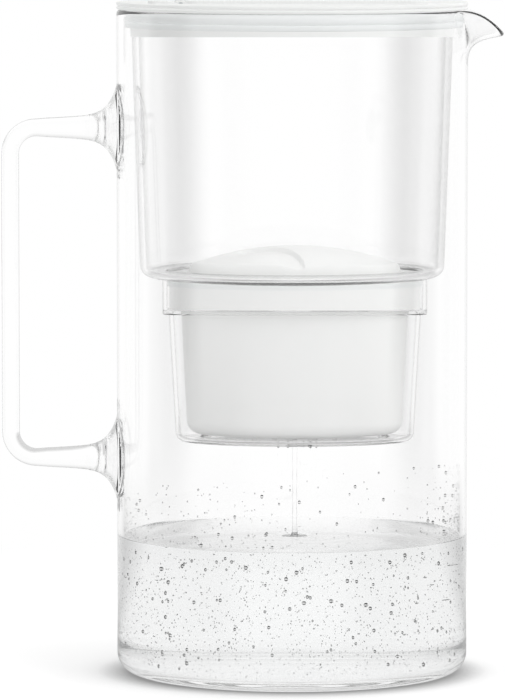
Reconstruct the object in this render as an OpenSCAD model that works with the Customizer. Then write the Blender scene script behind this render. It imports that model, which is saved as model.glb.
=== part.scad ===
// Water filter pitcher with a flip lid.
// Origin: centre of the base, on the surface it stands on. +Z up, spout to +X, handle to -X.
// A glass jug carries a clear hopper. The hopper hangs from its collar ring, holds an oval
// cartridge in a basket under its floor, and is closed by a lid plate with a hinged flap.

/* [Jug] */
// Outer diameter of the glass jug
jug_d = 140; // [130:1:156]
// Height of the glass rim above the base
jug_h = 264.9; // [240:0.1:300]
// Wall thickness of the glass
jug_wall = 2.8; // [2.2:0.1:3.6]
// Thickness of the glass floor
jug_floor = 4.5; // [3:0.5:8]
// Outer rounding between the base and the wall
base_round = 8; // [6:0.5:12]

/* [Spout] */
// How far the spout's tip stands out from the wall
spout_reach = 14.4; // [8:0.2:18]
// Width of the spout where it leaves the rim
spout_w = 48; // [36:1:54]
// Depth of the spout's root below the rim
spout_root = 21.9; // [18:0.1:26]
// Drop of the spout's tip below the rim
spout_drop = 9.8; // [6:0.2:12]
// Glass thickness of the spout
spout_wall = 2.2; // [1.6:0.1:2.6]

/* [Handle] */
// Distance from the jug's wall to the outside of the grip
handle_reach = 46; // [40:1:60]
// Diameter of the glass rod
rod_d = 7.2; // [6:0.2:10]
// Height of the upper arm's axis
handle_top = 218; // [190:1:230]
// Height of the lower arm's axis
handle_low = 86; // [50:1:110]
// Bend radius of the rod at its axis
handle_bend = 10.5; // [8:0.5:18]
// Radius of the fused foot where an arm meets the wall
foot_r = 13; // [11:0.5:16]
// Length of the foot that stands on the wall
foot_len = 3.6; // [3:0.2:5]
// Radius of an arm beside the wall, before it flares into its foot
arm_end_r = 4.5; // [4.2:0.1:6]

/* [Collar ring] */
// Thickness of the collar's flange on the rim
flange_t = 1.2; // [1:0.1:2.4]
// Radial room between the collar's skirt and the glass
skirt_gap = 2.8; // [2.4:0.1:3.6]
// Depth of the skirt below the rim, at the sides
skirt_drop = 10.9; // [9.9:0.1:14]
// Rise of the skirt's lower edge towards the front and back
skirt_arch = 2; // [0:0.1:2.4]
// Thickness of the skirt
skirt_wall = 1.8; // [1.4:0.1:2.4]
// Depth of the seal's top below the rim
seal_top = 1.4; // [0.8:0.1:1.6]
// Radius of the seal's upper lip
upper_lip = 1.5; // [1.2:0.05:1.6]
// Radius of the seal's lower lip
lower_lip = 1.2; // [1:0.05:1.4]
// Width of the gap in the seal that lets water reach the spout
pour_gap = 26; // [16:1:34]

/* [Hopper] */
// Height of the underside of the hopper's floor
hopper_floor_z = 158.8; // [150:0.2:175]
// Outer radius of the hopper at its floor
hopper_low_r = 60.8; // [58:0.2:62]
// Wall thickness of the hopper
hopper_wall = 2.4; // [1.8:0.1:3]
// Thickness of the hopper's floor
hopper_floor = 2.2; // [1.6:0.1:3]
// Outer rounding between the hopper's wall and floor
hopper_round = 4.5; // [3:0.5:5]
// Length of the hopper's neck inside the skirt
neck_len = 5; // [3.5:0.5:6]

/* [Oval of the cartridge] */
// Half the length of the cup's oval at its shoulder
oval_a = 45.4; // [42:0.2:46]
// Half the width of the cup's oval at its shoulder
oval_b = 25.9; // [24:0.2:30]

/* [Filter basket] */
// Distance of the basket and the cartridge from the pitcher's axis, towards the spout
basket_x = 1.1; // [0:0.1:2.4]
// Height of the basket's underside
basket_z = 92.6; // [88:0.2:100]
// Height of the step under the basket's collar, at the sides
step_z = 143.2; // [138:0.2:146]
// Rise of the step towards the front and back
step_arch = 2.3; // [0:0.1:2.6]
// Wall thickness of the basket
basket_wall = 1.6; // [1.2:0.1:2]
// Outline of the basket's collar, outside the cup's oval
collar_grow = 7.5; // [7.3:0.1:8.4]
// Outline of the basket under the step, outside the cup's oval
basket_grow = 5; // [4.6:0.1:5.4]
// Draft of the basket from the step to its underside
basket_draft = 2.7; // [1.5:0.1:2.9]
// Outer rounding between the basket's wall and floor
basket_round = 3.6; // [2.5:0.1:4.5]
// Diameter of the outlet in the basket's floor
outlet_d = 4; // [3:0.5:6]

/* [Cartridge] */
// Outline of the cup's shoulder band, outside the cup's oval
band_grow = 4.7; // [4.2:0.1:4.9]
// Draft of the cup from its shoulder to its lower edge
cup_draft = 2.6; // [1:0.1:3]
// Rounding between the cup's wall and floor
cup_round = 5.5; // [3:0.5:7]
// Wall thickness of the cup
cup_wall = 1.4; // [1:0.1:1.8]
// Height that the cap's dome stands above its plate
dome_h = 11.2; // [8:0.2:14]
// Thickness of the cap
cap_t = 1.6; // [1.2:0.1:2]
// Radius of the dome's crown along the cartridge
dome_crown_r = 112; // [90:1:140]
// Rounding of the dome's shoulder
dome_round = 5; // [3:0.5:7]
// Depth of the carbon bed
carbon_h = 24; // [16:0.5:30]
// Thickness of a mesh or a fleece pad
pad_t = 0.8; // [0.5:0.1:1.2]

/* [Lid and flap] */
// Thickness of the lid plate
lid_t = 1.6; // [1.5:0.1:2.4]
// Depth of the lid's spigot under its plate
spigot_len = 6.6; // [5:0.2:7]
// Wall of the spigot and of the opening's curb
spigot_wall = 1.6; // [1.2:0.1:2]
// Length of the flap from its hinge axis to its free edge
flap_len = 97; // [84:1:99]
// Width of the flap
flap_w = 66; // [50:1:68]
// Distance of the hinge axis from the pitcher's axis, towards the handle
hinge_x = 44; // [42:0.5:46]
// How far the flap laps over the opening's edge
flap_lap = 3; // [2.4:0.2:4]
// Height of the flap above the lid plate
flap_stand = 1; // [0.8:0.1:1.6]
// Thickness of the flap
flap_t = 1.9; // [1.8:0.1:2.4]
// Diameter of the hinge pin
pin_d = 2; // [1.6:0.1:2.2]
// Diameter of the flap's hinge barrel
barrel_d = 4.2; // [3.8:0.1:4.6]

/* [Hidden] */
$fn = 96;

// Clearances
seat_gap = 0.2;      // between pieces that lie on each other and lift apart
run_clear = 0.05;    // pin in its bore
slide_clear = 0.3;   // between pieces that slide past each other
seal_clear = 0.1;    // between a relaxed seal and the face that it wipes
fit_clear = 0.1;     // between pieces that stay together
eps = 0.01;
far = 400;

// Jug
jug_r = jug_d / 2;
jug_in_r = jug_r - jug_wall;
inner_round = base_round - jug_wall;

// Handle
rod_r = rod_d / 2;
grip_x = jug_r + handle_reach - rod_r;
foot_face_x = jug_r + foot_len;
arm_start_x = grip_x - handle_bend;
arm_span = arm_start_x - jug_r;
arm_steps = 14;
foot_flare = 6;
bend_r = rod_r - 0.05;
bend_lap = 0.1;

// Collar ring
flange_z = jug_h + seat_gap;
skirt_r = jug_in_r - skirt_gap;
skirt_in_r = skirt_r - skirt_wall;
skirt_z = jug_h - skirt_drop;
seal_top_z = jug_h - seal_top;
seal_low_z = seal_top_z - 2 * upper_lip - 2 * lower_lip;
lip_r = jug_in_r - seal_clear;
lip_stand = 1.1;
band_r = lip_r - lip_stand;
seal_web = 1.3;
pour_skin = 0.4;

// Hopper
neck_step = 0.5;
bore_step = 0.2;
hopper_top_r = skirt_r - neck_step;
hopper_in_low_r = hopper_low_r - hopper_wall;
neck_r = skirt_in_r - fit_clear;
neck_top_z = skirt_z + neck_len;

// Basket and cartridge heights
collar_in = collar_grow - basket_wall;
ledge_z = step_z + basket_wall;
basket_in_z = basket_z + basket_wall;
rest_h = 1.4;
rest_x = oval_a - 10;
rest_low_r = 2.6;
rest_top_r = 1;
cup_z = basket_in_z + rest_h + seat_gap;
cup_in_z = cup_z + cup_wall;
cup_drop = 0.6;
cup_top_z = hopper_floor_z - cup_drop;
band_z = ledge_z + seat_gap;
shelf_z = band_z + step_arch + cup_wall;
arch_reach = oval_b + collar_grow + 1;
cap_plate_z = cup_top_z + cap_t;
gasket_drop = 3;
slot_w = 2;
drain_pitch = 8;
drain_len = 16;
inlet_pitch = 6;
inlet_h = 2.2;
inlet_rise = 0.8;
inlet_y = 12;
dome_grow = -3.4;
curl_x = 15;
curl_y = 24;
curl_r = 23.5;
curl_w = 3;
curl_h = 0.9;
dome_top_z = cap_plate_z + dome_h;
gasket_t = 1.8;
gasket_z = cup_top_z - gasket_drop;
resin_z = cup_in_z + pad_t;
carbon_z = shelf_z - carbon_h;
separator_z = carbon_z - pad_t;

// Lid
lid_z = flange_z + flange_t + seat_gap;
lid_top_z = lid_z + lid_t;
spigot_r = skirt_in_r - slide_clear;
flap_top_z = lid_top_z + flap_stand;
flap_z = flap_top_z - flap_t;
rebate_z = flap_z - seat_gap;
curb_z = lid_z - spigot_len / 3;
barrel_stand = 0.6;
hinge_z = flap_top_z - barrel_d / 2 + barrel_stand;
flap_corner = 7;
open_x0 = -hinge_x + barrel_d / 2 + slide_clear + spigot_wall;
open_x1 = -hinge_x + flap_len - flap_lap;
open_w = flap_w - 2 * flap_lap;
barrel_in = 9;
barrel_w = flap_w - 2 * barrel_in;
lug_w = 4;
land_x = 57;
land_corner = 4;
grip_x0 = 27;
grip_len = 16;
grip_cut = 0.4;
finger_r = 9;
finger_depth = 1;
finger_off = 1.5;

// ---- shared shapes ----

// Rectangle from the axis, rounded at its lower outer corner, for turning
module cup_profile(r, h, round) {
    square([r - round, h]);
    translate([0, round]) square([r, h - round]);
    translate([r - round, round]) circle(round);
}

// Everything above a shallow roof turned upside down: z0 at y = 0, z0 + rise at y = +-reach
module above_arch(z0, rise, reach) {
    slope = rise / reach;
    rotate([90, 0, 90])
        linear_extrude(far, center = true)
            polygon([[-far, z0 + slope * far], [0, z0], [far, z0 + slope * far], [far, far * 2], [-far, far * 2]]);
}

// A turned shape drawn in across the pitcher, so that its radius oval_a + g becomes the oval grown by g
module oval(g) {
    translate([basket_x, 0, 0])
        scale([1, (oval_b + g) / (oval_a + g), 1]) children();
}

// The oval grown by g, from z0 to z1
module oval_block(g, z0, z1) {
    oval(g)
        translate([0, 0, z0]) cylinder(z1 - z0, r = oval_a + g);
}

// An oval tub's outside: a drafted wall that meets its floor in a rounding
module oval_tub(g_low, g_top, z0, z1, round) {
    draft = (g_top - g_low) / (z1 - z0);
    lean = sqrt(1 + draft * draft);
    low = oval_a + g_low;
    cx = low + draft * round - round * lean;
    oval(g_top)
        rotate_extrude() {
            polygon([[0, z0], [cx, z0], [cx + round / lean, z0 + round - draft * round / lean],
                [oval_a + g_top, z1], [0, z1]]);
            translate([cx, z0 + round]) circle(round);
        }
}

// Rectangle with rounded corners in plan
module rounded_plan(x0, x1, w, r) {
    for (x = [x0 + r, x1 - r], y = [r - w / 2, w / 2 - r])
        translate([x, y]) circle(r);
    translate([x0 + r, -w / 2]) square([x1 - x0 - 2 * r, w]);
    translate([x0, r - w / 2]) square([x1 - x0, w - 2 * r]);
}

// ---- jug ----

// Radius of a handle arm at share t of the way from the bend to the wall
function arm_r(t) = rod_r + (arm_end_r - rod_r) * t + (foot_r - arm_end_r) * pow(t, foot_flare);
function arm_t(x) = min(1, max(0, (arm_start_x - x) / arm_span));

// An arm's solid between two distances from the pitcher's axis, turned about the arm's own axis
module arm_between(x_in, x_out, z) {
    pts = [for (i = [0 : arm_steps]) let (x = x_out + (x_in - x_out) * i / arm_steps) [arm_r(arm_t(x)), x]];
    translate([0, 0, z])
        rotate([0, -90, 0])
            rotate_extrude()
                polygon(concat([[0, x_out]], pts, [[0, x_in]]));
}

// Spout sheet: u runs across it from -1 to 1, v from its root on the wall to its lip
spout_u = 20;
spout_v = 8;
root_in = 0.5;
side_depth = 4;
notch_edge = 3.5;
side_drop = 0.3;
out_power = 1.3;
drop_power = 2.7;
flare_power = 2.4;
rise_power = 1.9;
lip_share = 0.07;
lip_power = 8;
pinch = 0.12;
spout_half = asin(spout_w / 2 / jug_r);
function bow(u) = sqrt(max(0, 1 - u * u));
function root_z(u) = jug_h - side_depth - (spout_root - side_depth) * bow(u);
function lip_out(u) = spout_reach * pow(1 - u * u, out_power);
function lip_z(u) = jug_h - side_drop - (spout_drop - side_drop) * pow(1 - u * u, drop_power);
function lip_turn(u) = spout_half * u;
function ease_out(v) = pow(v, flare_power);
function ease_up(v) = (1 - lip_share) * (1 - pow(1 - v, rise_power)) + lip_share * pow(v, lip_power);
function spout_point(u, v) =
    let (r = jug_r - root_in + (lip_out(u) + root_in) * ease_out(v),
         z = root_z(u) + (lip_z(u) - root_z(u)) * ease_up(v),
         a = lip_turn(u) * (1 - pinch * ease_out(v)))
    [r * cos(a), r * sin(a), z];
function unit(p) = p / norm(p);
function spout_normal(u, v) =
    let (d = 0.02, u0 = max(-1, u - d), u1 = min(1, u + d), v0 = max(0, v - d), v1 = min(1, v + d))
    unit(cross(spout_point(u1, v) - spout_point(u0, v), spout_point(u, v1) - spout_point(u, v0)));

module spout_sheet() {
    cols = spout_v + 1;
    rows = spout_u + 1;
    half = rows * cols;
    outer = [for (i = [0 : spout_u], j = [0 : spout_v]) spout_point(2 * i / spout_u - 1, j / spout_v)];
    inner = [for (i = [0 : spout_u], j = [0 : spout_v])
        let (u = 2 * i / spout_u - 1, v = j / spout_v) spout_point(u, v) - spout_wall * spout_normal(u, v)];
    skin = [for (i = [0 : spout_u - 1], j = [0 : spout_v - 1]) let (k = i * cols + j)
        each [[k, k + 1, k + cols], [k + 1, k + cols + 1, k + cols]]];
    back = [for (t = skin) [t[2] + half, t[1] + half, t[0] + half]];
    sides = [for (j = [0 : spout_v - 1]) let (k = spout_u * cols + j)
        each [[j, j + half, j + 1], [j + 1, j + half, j + 1 + half],
              [k, k + 1, k + half], [k + 1, k + 1 + half, k + half]]];
    ends = [for (i = [0 : spout_u - 1]) let (k = i * cols, m = k + spout_v)
        each [[k, k + cols, k + half], [k + cols, k + cols + half, k + half],
              [m, m + half, m + cols], [m + cols, m + half, m + cols + half]]];
    polyhedron(concat(outer, inner), concat(skin, back, sides, ends));
}

module jug_body() {
    color([0.86, 0.91, 0.9, 0.35]) {
        difference() {
            rotate_extrude() {
                difference() {
                    cup_profile(jug_r, jug_h - jug_wall / 2, base_round);
                    translate([0, jug_floor]) cup_profile(jug_in_r, jug_h, inner_round);
                }
                translate([jug_r - jug_wall / 2, jug_h - jug_wall / 2]) circle(jug_wall / 2);
            }
            translate([jug_r / 2, 0, jug_h + spout_w / 2 - spout_root + notch_edge])
                rotate([0, 90, 0]) cylinder(jug_r, r = spout_w / 2);
        }
        spout_sheet();
        difference() {
            for (z = [handle_low, handle_top])
                arm_between(jug_in_r - 1, foot_face_x, z);
            cylinder(far, r = jug_in_r + eps);
        }
    }
}

module jug_handle() {
    color([0.86, 0.91, 0.9, 0.35]) {
        for (z = [handle_low, handle_top])
            arm_between(foot_face_x, arm_start_x + bend_lap, z);
        translate([-grip_x, 0, handle_low + handle_bend - bend_lap])
            cylinder(handle_top - handle_low - 2 * (handle_bend - bend_lap), r = rod_r);
        for (s = [0, 1])
            translate([-arm_start_x, 0, s ? handle_top - handle_bend : handle_low + handle_bend])
                rotate([90, 0, 0])
                    rotate([0, 0, s ? 90 : 180])
                        rotate_extrude(angle = 90) translate([handle_bend, 0]) circle(bend_r);
    }
}

// ---- funnel: everything that lifts out of the jug ----

module collar_ring() {
    color([0.93, 0.94, 0.93, 0.8]) {
        rotate_extrude() {
            translate([skirt_in_r, flange_z]) square([jug_r - skirt_in_r - flange_t / 2, flange_t]);
            translate([jug_r - flange_t / 2, flange_z + flange_t / 2]) circle(flange_t / 2);
            translate([skirt_in_r, seal_top_z]) square([skirt_wall, flange_z - seal_top_z + eps]);
        }
        difference() {
            rotate_extrude()
                translate([skirt_r - eps, seal_top_z]) square([band_r - skirt_r, flange_z - seal_top_z + eps]);
            pour_cut();
        }
        intersection() {
            rotate_extrude()
                translate([skirt_in_r, skirt_z - 1]) square([skirt_wall, flange_z - skirt_z + 1 + eps]);
            above_arch(skirt_z, skirt_arch, skirt_r);
        }
    }
}

// The way that water takes past the seal to the spout
module pour_cut() {
    translate([skirt_r + pour_skin, -pour_gap / 2, seal_low_z - 1])
        cube([far, pour_gap, flange_z - seal_low_z + 1]);
}

module mouth_seal() {
    color([0.9, 0.92, 0.92, 0.7])
        difference() {
            rotate_extrude() {
                translate([skirt_r - eps, seal_low_z]) square([seal_web, seal_top_z - seal_low_z]);
                translate([lip_r - upper_lip, seal_top_z - upper_lip]) circle(upper_lip);
                translate([lip_r - lower_lip, seal_low_z + lower_lip]) circle(lower_lip);
            }
            translate([0, 0, skirt_z]) cylinder(skirt_drop + flange_t, r = skirt_r);
            pour_cut();
        }
}

module hopper() {
    color([0.93, 0.96, 0.96, 0.35])
        difference() {
            union() {
                difference() {
                    union() {
                        translate([0, 0, hopper_floor_z])
                            rotate_extrude()
                                cup_profile(hopper_low_r, hopper_round + 1, hopper_round);
                        translate([0, 0, hopper_floor_z + hopper_round])
                            cylinder(skirt_z + skirt_arch - hopper_floor_z - hopper_round,
                                hopper_low_r, hopper_top_r);
                    }
                    above_arch(skirt_z - eps, skirt_arch, skirt_r);
                }
                translate([0, 0, skirt_z - 2])
                    cylinder(neck_len + 2, r = neck_r);
            }
            translate([0, 0, hopper_floor_z + hopper_floor])
                rotate_extrude()
                    cup_profile(hopper_in_low_r, hopper_round, hopper_round - hopper_floor);
            translate([0, 0, hopper_floor_z + hopper_floor + hopper_round - eps])
                cylinder(neck_top_z - hopper_floor_z, hopper_in_low_r, hopper_top_r - hopper_wall);
            translate([0, 0, skirt_z - 6])
                cylinder(far, r = hopper_top_r - hopper_wall - bore_step);
            oval_block(collar_in, hopper_floor_z - 1, hopper_floor_z + hopper_floor + 1);
        }
}

module filter_basket() {
    color([0.93, 0.96, 0.96, 0.35]) {
        difference() {
            union() {
                intersection() {
                    oval_block(collar_grow, step_z - 1, hopper_floor_z);
                    above_arch(step_z, step_arch, arch_reach);
                }
                oval_tub(basket_grow - basket_draft, basket_grow,
                    basket_z, step_z + step_arch + 0.6, basket_round);
            }
            intersection() {
                oval_block(collar_in, ledge_z - 1, hopper_floor_z + 1);
                above_arch(ledge_z, step_arch, arch_reach);
            }
            oval_tub(basket_grow - basket_draft - basket_wall, basket_grow - basket_wall,
                basket_in_z, ledge_z + step_arch + 1, basket_round - basket_wall);
            translate([basket_x, 0, basket_z - 1]) cylinder(basket_wall + 2, d = outlet_d);
        }
        // two rests that carry the cup's floor
        for (s = [-1, 1])
            translate([basket_x + s * rest_x, 0, basket_in_z - eps])
                cylinder(rest_h + eps, rest_low_r, rest_top_r);
    }
}

// ---- cartridge ----

module cartridge_cup() {
    color([0.96, 0.96, 0.95])
        difference() {
            union() {
                oval_tub(-cup_draft, 0, cup_z, shelf_z, cup_round);
                intersection() {
                    oval_block(band_grow, band_z - 1, cup_top_z);
                    above_arch(band_z, step_arch, arch_reach);
                }
            }
            oval_tub(-cup_draft - cup_wall, -cup_wall, cup_in_z, shelf_z + 0.5, cup_round - cup_wall);
            oval_block(band_grow - cup_wall, shelf_z, cup_top_z + 1);
            // drain slots in the cup's floor
            for (i = [-2 : 2])
                translate([basket_x + i * drain_pitch - slot_w / 2, -drain_len / 2, cup_z - 1])
                    cube([slot_w, drain_len, cup_wall + 2]);
        }
}

// The dome's outside, or its inside where it is thinned by skin
module dome(skin) {
    a = oval_a + dome_grow - skin;
    crown = dome_crown_r - skin;
    round = dome_round - skin;
    top = dome_top_z - skin;
    cz = top - crown + sqrt(pow(crown - round, 2) - pow(a - round, 2));
    oval(dome_grow - skin)
        rotate_extrude() {
            intersection() {
                translate([0, top - crown]) circle(crown);
                translate([0, cz]) square([(a - round) * crown / (crown - round), crown]);
            }
            translate([a - round, cz]) circle(round);
            translate([0, cup_top_z - skin]) square([a, cz - cup_top_z + skin]);
        }
}

// Quarter rings over the crown, one to each side, raised above the dome
module curled_ridges() {
    intersection() {
        for (turn = [0, 180])
            translate([basket_x, 0, 0])
                rotate([0, 0, turn])
                    difference() {
                        translate([-curl_x, -curl_y, cap_plate_z]) cylinder(dome_h + curl_h, r = curl_r);
                        translate([-curl_x, -curl_y, cap_plate_z - 1]) cylinder(far, r = curl_r - curl_w);
                        translate([-far - curl_x, -far, 0]) cube([far, far * 2, far]);
                        translate([-far, -far - curl_y, 0]) cube([far * 2, far, far]);
                    }
        translate([0, 0, curl_h]) dome(0);
    }
}

module cartridge_cap() {
    color([0.97, 0.97, 0.96]) {
        difference() {
            union() {
                oval_block(band_grow, cup_top_z, cap_plate_z);
                dome(0);
                curled_ridges();
            }
            dome(cap_t);
            // inlet slots through the dome's rear flank
            for (i = [-3 : 3])
                translate([basket_x + i * inlet_pitch - slot_w / 2, inlet_y, cap_plate_z + inlet_rise])
                    cube([slot_w, far, inlet_h]);
        }
    }
}

module cartridge_gasket() {
    color([0.88, 0.9, 0.9, 0.8])
        difference() {
            oval_block(collar_in - seal_clear, gasket_z, gasket_z + gasket_t);
            oval_block(band_grow, gasket_z - 1, gasket_z + gasket_t + 1);
        }
}

// A layer that fills the cup from z0 to z1
module cup_layer(z0, z1) {
    intersection() {
        oval_tub(-cup_draft - cup_wall - fit_clear, -cup_wall - fit_clear,
            cup_in_z, shelf_z, cup_round - cup_wall);
        translate([-far / 2, -far / 2, z0]) cube([far, far, z1 - z0]);
    }
}

module outlet_mesh() {
    color([0.9, 0.9, 0.88])
        oval_block(-cup_draft - cup_round - fit_clear, cup_in_z, resin_z);
}

module resin_bed() {
    color([0.86, 0.66, 0.32])
        difference() {
            cup_layer(cup_in_z, separator_z);
            oval_block(-cup_draft - cup_round, cup_in_z - 1, resin_z);
        }
}

module bed_separator() {
    color([0.93, 0.93, 0.9]) cup_layer(separator_z, carbon_z);
}

module carbon_bed() {
    color([0.12, 0.12, 0.13]) cup_layer(carbon_z, shelf_z);
}

module inlet_mesh() {
    color([0.9, 0.9, 0.88])
        oval_block(band_grow - cup_wall - fit_clear, shelf_z, shelf_z + pad_t);
}

// ---- lid ----

module lid_plate() {
    color([0.93, 0.94, 0.93, 0.8])
        difference() {
            union() {
                rotate_extrude() {
                    translate([0, lid_z]) square([jug_r - lid_t / 2, lid_t]);
                    translate([jug_r - lid_t / 2, lid_z + lid_t / 2]) circle(lid_t / 2);
                    translate([spigot_r - spigot_wall, lid_z - spigot_len])
                        square([spigot_wall, spigot_len + eps]);
                }
                intersection() {
                    translate([0, 0, curb_z])
                        linear_extrude(lid_z - curb_z + eps)
                            rounded_plan(-hinge_x - barrel_d / 2 - spigot_wall, open_x1 + spigot_wall + flap_lap,
                                flap_w + 2 * spigot_wall, flap_corner);
                    cylinder(far, r = spigot_r - spigot_wall / 2);
                }
                // raised land behind the hinge, level with the flap
                translate([0, 0, lid_top_z - eps])
                    linear_extrude(flap_stand + eps)
                        rounded_plan(-land_x, -hinge_x - barrel_d / 2 - slide_clear, flap_w, land_corner);
                // hinge lugs
                for (s = [-1, 1])
                    translate([-hinge_x, s * (barrel_w / 2 + slide_clear + lug_w / 2), 0]) {
                        translate([0, 0, hinge_z]) rotate([90, 0, 0])
                            cylinder(lug_w, d = barrel_d, center = true);
                        translate([-barrel_d / 2, -lug_w / 2, curb_z]) cube([barrel_d, lug_w, hinge_z - curb_z]);
                    }
            }
            // opening and the rebate round it
            intersection() {
                translate([0, 0, curb_z - 1])
                    linear_extrude(far) rounded_plan(open_x0, open_x1, open_w, flap_corner - flap_lap);
                cylinder(far, r = spigot_r - spigot_wall);
            }
            difference() {
                translate([0, 0, rebate_z])
                    linear_extrude(far)
                        rounded_plan(-hinge_x, flap_len - hinge_x + slide_clear,
                            flap_w + 2 * slide_clear, flap_corner);
                translate([-hinge_x - barrel_d, -flap_w, rebate_z - 1])
                    cube([barrel_d + barrel_d / 2, flap_w * 2, far]);
            }
            // trough for the flap's barrel and its web
            translate([-hinge_x, 0, hinge_z]) rotate([90, 0, 0])
                cylinder(barrel_w + 2 * slide_clear, d = barrel_d + 2 * slide_clear, center = true);
            translate([-hinge_x, -barrel_w / 2 - slide_clear, rebate_z])
                cube([barrel_d, barrel_w + 2 * slide_clear, far]);
            // pin bore
            translate([-hinge_x, 0, hinge_z]) rotate([90, 0, 0])
                cylinder(barrel_w + 4 * lug_w, d = pin_d, center = true);
            // finger recess beside the flap's free edge
            translate([flap_len - hinge_x + finger_off, 0, lid_top_z + finger_r - finger_depth])
                sphere(r = finger_r);
        }
}

module hinge_pin() {
    color([0.75, 0.76, 0.78])
        translate([-hinge_x, 0, hinge_z]) rotate([90, 0, 0])
            cylinder(barrel_w + 2 * slide_clear + 2 * lug_w, d = pin_d, center = true);
}

module flip_flap() {
    color([0.94, 0.95, 0.94, 0.85])
        difference() {
            union() {
                difference() {
                    translate([0, 0, flap_z])
                        linear_extrude(flap_t)
                            rounded_plan(-hinge_x, flap_len - hinge_x, flap_w, flap_corner);
                    translate([-hinge_x - barrel_d, -flap_w, flap_z - 1])
                        cube([barrel_d + barrel_d / 2 + slide_clear, flap_w * 2, far]);
                }
                translate([-hinge_x, 0, hinge_z]) rotate([90, 0, 0])
                    cylinder(barrel_w, d = barrel_d, center = true);
                translate([-hinge_x, -barrel_w / 2, flap_z])
                    cube([barrel_d, barrel_w, flap_t]);
            }
            translate([-hinge_x, 0, hinge_z]) rotate([90, 0, 0])
                cylinder(barrel_w + 2, d = pin_d + 2 * run_clear, center = true);
            // grips cut in the two long edges
            for (s = [-1, 1])
                translate([grip_x0, s * flap_w / 2 - grip_cut, flap_top_z - flap_stand])
                    cube([grip_len, 2 * grip_cut, far]);
        }
}

jug_body();
jug_handle();
collar_ring();
mouth_seal();
hopper();
filter_basket();
lid_plate();
hinge_pin();
flip_flap();
cartridge_cup();
cartridge_cap();
cartridge_gasket();
inlet_mesh();
carbon_bed();
bed_separator();
resin_bed();
outlet_mesh();
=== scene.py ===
"""Looks of a water filter pitcher with a flip lid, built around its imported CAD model.

All places are in the CAD model's frame: the origin is the centre of the base, the spout points
to +X and the handle to -X. Sizes are written in millimetres and meshes are made in metres.
"""

import logging
import math
import random
from dataclasses import dataclass
from enum import Enum
from typing import Any, Sequence

import bmesh
import bpy
import numpy as np
from mathutils import Matrix, Vector


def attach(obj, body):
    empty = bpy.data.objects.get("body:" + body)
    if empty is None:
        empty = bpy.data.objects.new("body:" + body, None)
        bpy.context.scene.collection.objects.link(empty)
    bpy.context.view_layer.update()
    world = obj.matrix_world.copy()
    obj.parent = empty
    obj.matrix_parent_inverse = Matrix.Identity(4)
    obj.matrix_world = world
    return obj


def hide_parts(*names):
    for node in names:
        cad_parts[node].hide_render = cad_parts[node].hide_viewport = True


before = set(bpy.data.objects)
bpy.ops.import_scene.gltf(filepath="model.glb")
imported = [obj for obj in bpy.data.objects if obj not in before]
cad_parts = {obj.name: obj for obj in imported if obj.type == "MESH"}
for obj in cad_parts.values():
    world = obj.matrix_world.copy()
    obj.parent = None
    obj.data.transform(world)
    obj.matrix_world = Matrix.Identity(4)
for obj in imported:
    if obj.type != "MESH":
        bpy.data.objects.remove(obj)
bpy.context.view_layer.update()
LOG = logging.getLogger("pitcher")

Tree = bpy.types.NodeTree
Socket = bpy.types.NodeSocket
Piece = bpy.types.Object
Span = tuple[float, float]

MM = 0.001
# vertices that lie closer than this are one
MERGE = 0.002 * MM
SMOOTH = math.radians(32)
# the cap's ridges are low, so its faces shade apart at a smaller angle
CRISP = math.radians(24)
# how many points a ring has
ROUND = 256
OVAL = 192
ARM = 56
# distances from the axis where the jug's floor and the water's underside have a ring
FLOOR_RADII = (9, 20, 31, 42, 51, 58)
WHITE = (1, 1, 1, 1)
GLASS_IOR = 1.47
COPOLYMER_IOR = 1.57
PP_IOR = 1.49
WATER_IOR = 1.333


# ---- drawing meshes ----


def deselect_all() -> None:
    """Leaves object mode with nothing selected."""
    if bpy.context.mode != "OBJECT":
        bpy.ops.object.mode_set(mode="OBJECT")
    bpy.ops.object.select_all(action="DESELECT")


def activate(piece: Piece) -> None:
    """Makes piece the one selected and active object."""
    deselect_all()
    piece.select_set(True)
    bpy.context.view_layer.objects.active = piece


def shade(piece: Piece, angle: float = SMOOTH) -> None:
    """Shades a piece smooth, with edges sharper than an angle kept."""
    activate(piece)
    bpy.ops.object.shade_smooth_by_angle(angle=angle)


def draw_rings(name: str, rings: Sequence[np.ndarray], angle: float = SMOOTH) -> Piece:
    """Draws a closed skin: a circle is extruded once per ring and shaped to it.

    Rings that meet in a point become a pole, and a last ring that equals the first closes a loop.

    Args:
        name: the piece's name.
        rings: arrays of as many points each, in millimetres.
        angle: the largest angle that is shaded smooth.

    Returns:
        The finished mesh object.
    """
    deselect_all()
    bpy.ops.mesh.primitive_circle_add(vertices=len(rings[0]), radius=MM)
    piece = bpy.context.active_object
    piece.name = piece.data.name = name
    bpy.ops.object.mode_set(mode="EDIT")
    bm = bmesh.from_edit_mesh(piece.data)
    around = bm.verts.layers.int.new("around")
    for i, vert in enumerate(bm.verts):
        vert[around] = i
        vert.co = rings[0][i] * MM
    for ring in rings[1:]:
        bmesh.update_edit_mesh(piece.data)
        bpy.ops.mesh.extrude_region_move()
        bm = bmesh.from_edit_mesh(piece.data)
        around = bm.verts.layers.int["around"]
        for vert in bm.verts:
            if vert.select:
                vert.co = ring[vert[around]] * MM
    bmesh.update_edit_mesh(piece.data)
    bpy.ops.mesh.select_all(action="SELECT")
    bpy.ops.mesh.remove_doubles(threshold=MERGE)
    bpy.ops.mesh.normals_make_consistent(inside=False)
    bpy.ops.object.mode_set(mode="OBJECT")
    piece.data.attributes.remove(piece.data.attributes["around"])
    shade(piece, angle)
    return piece


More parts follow.
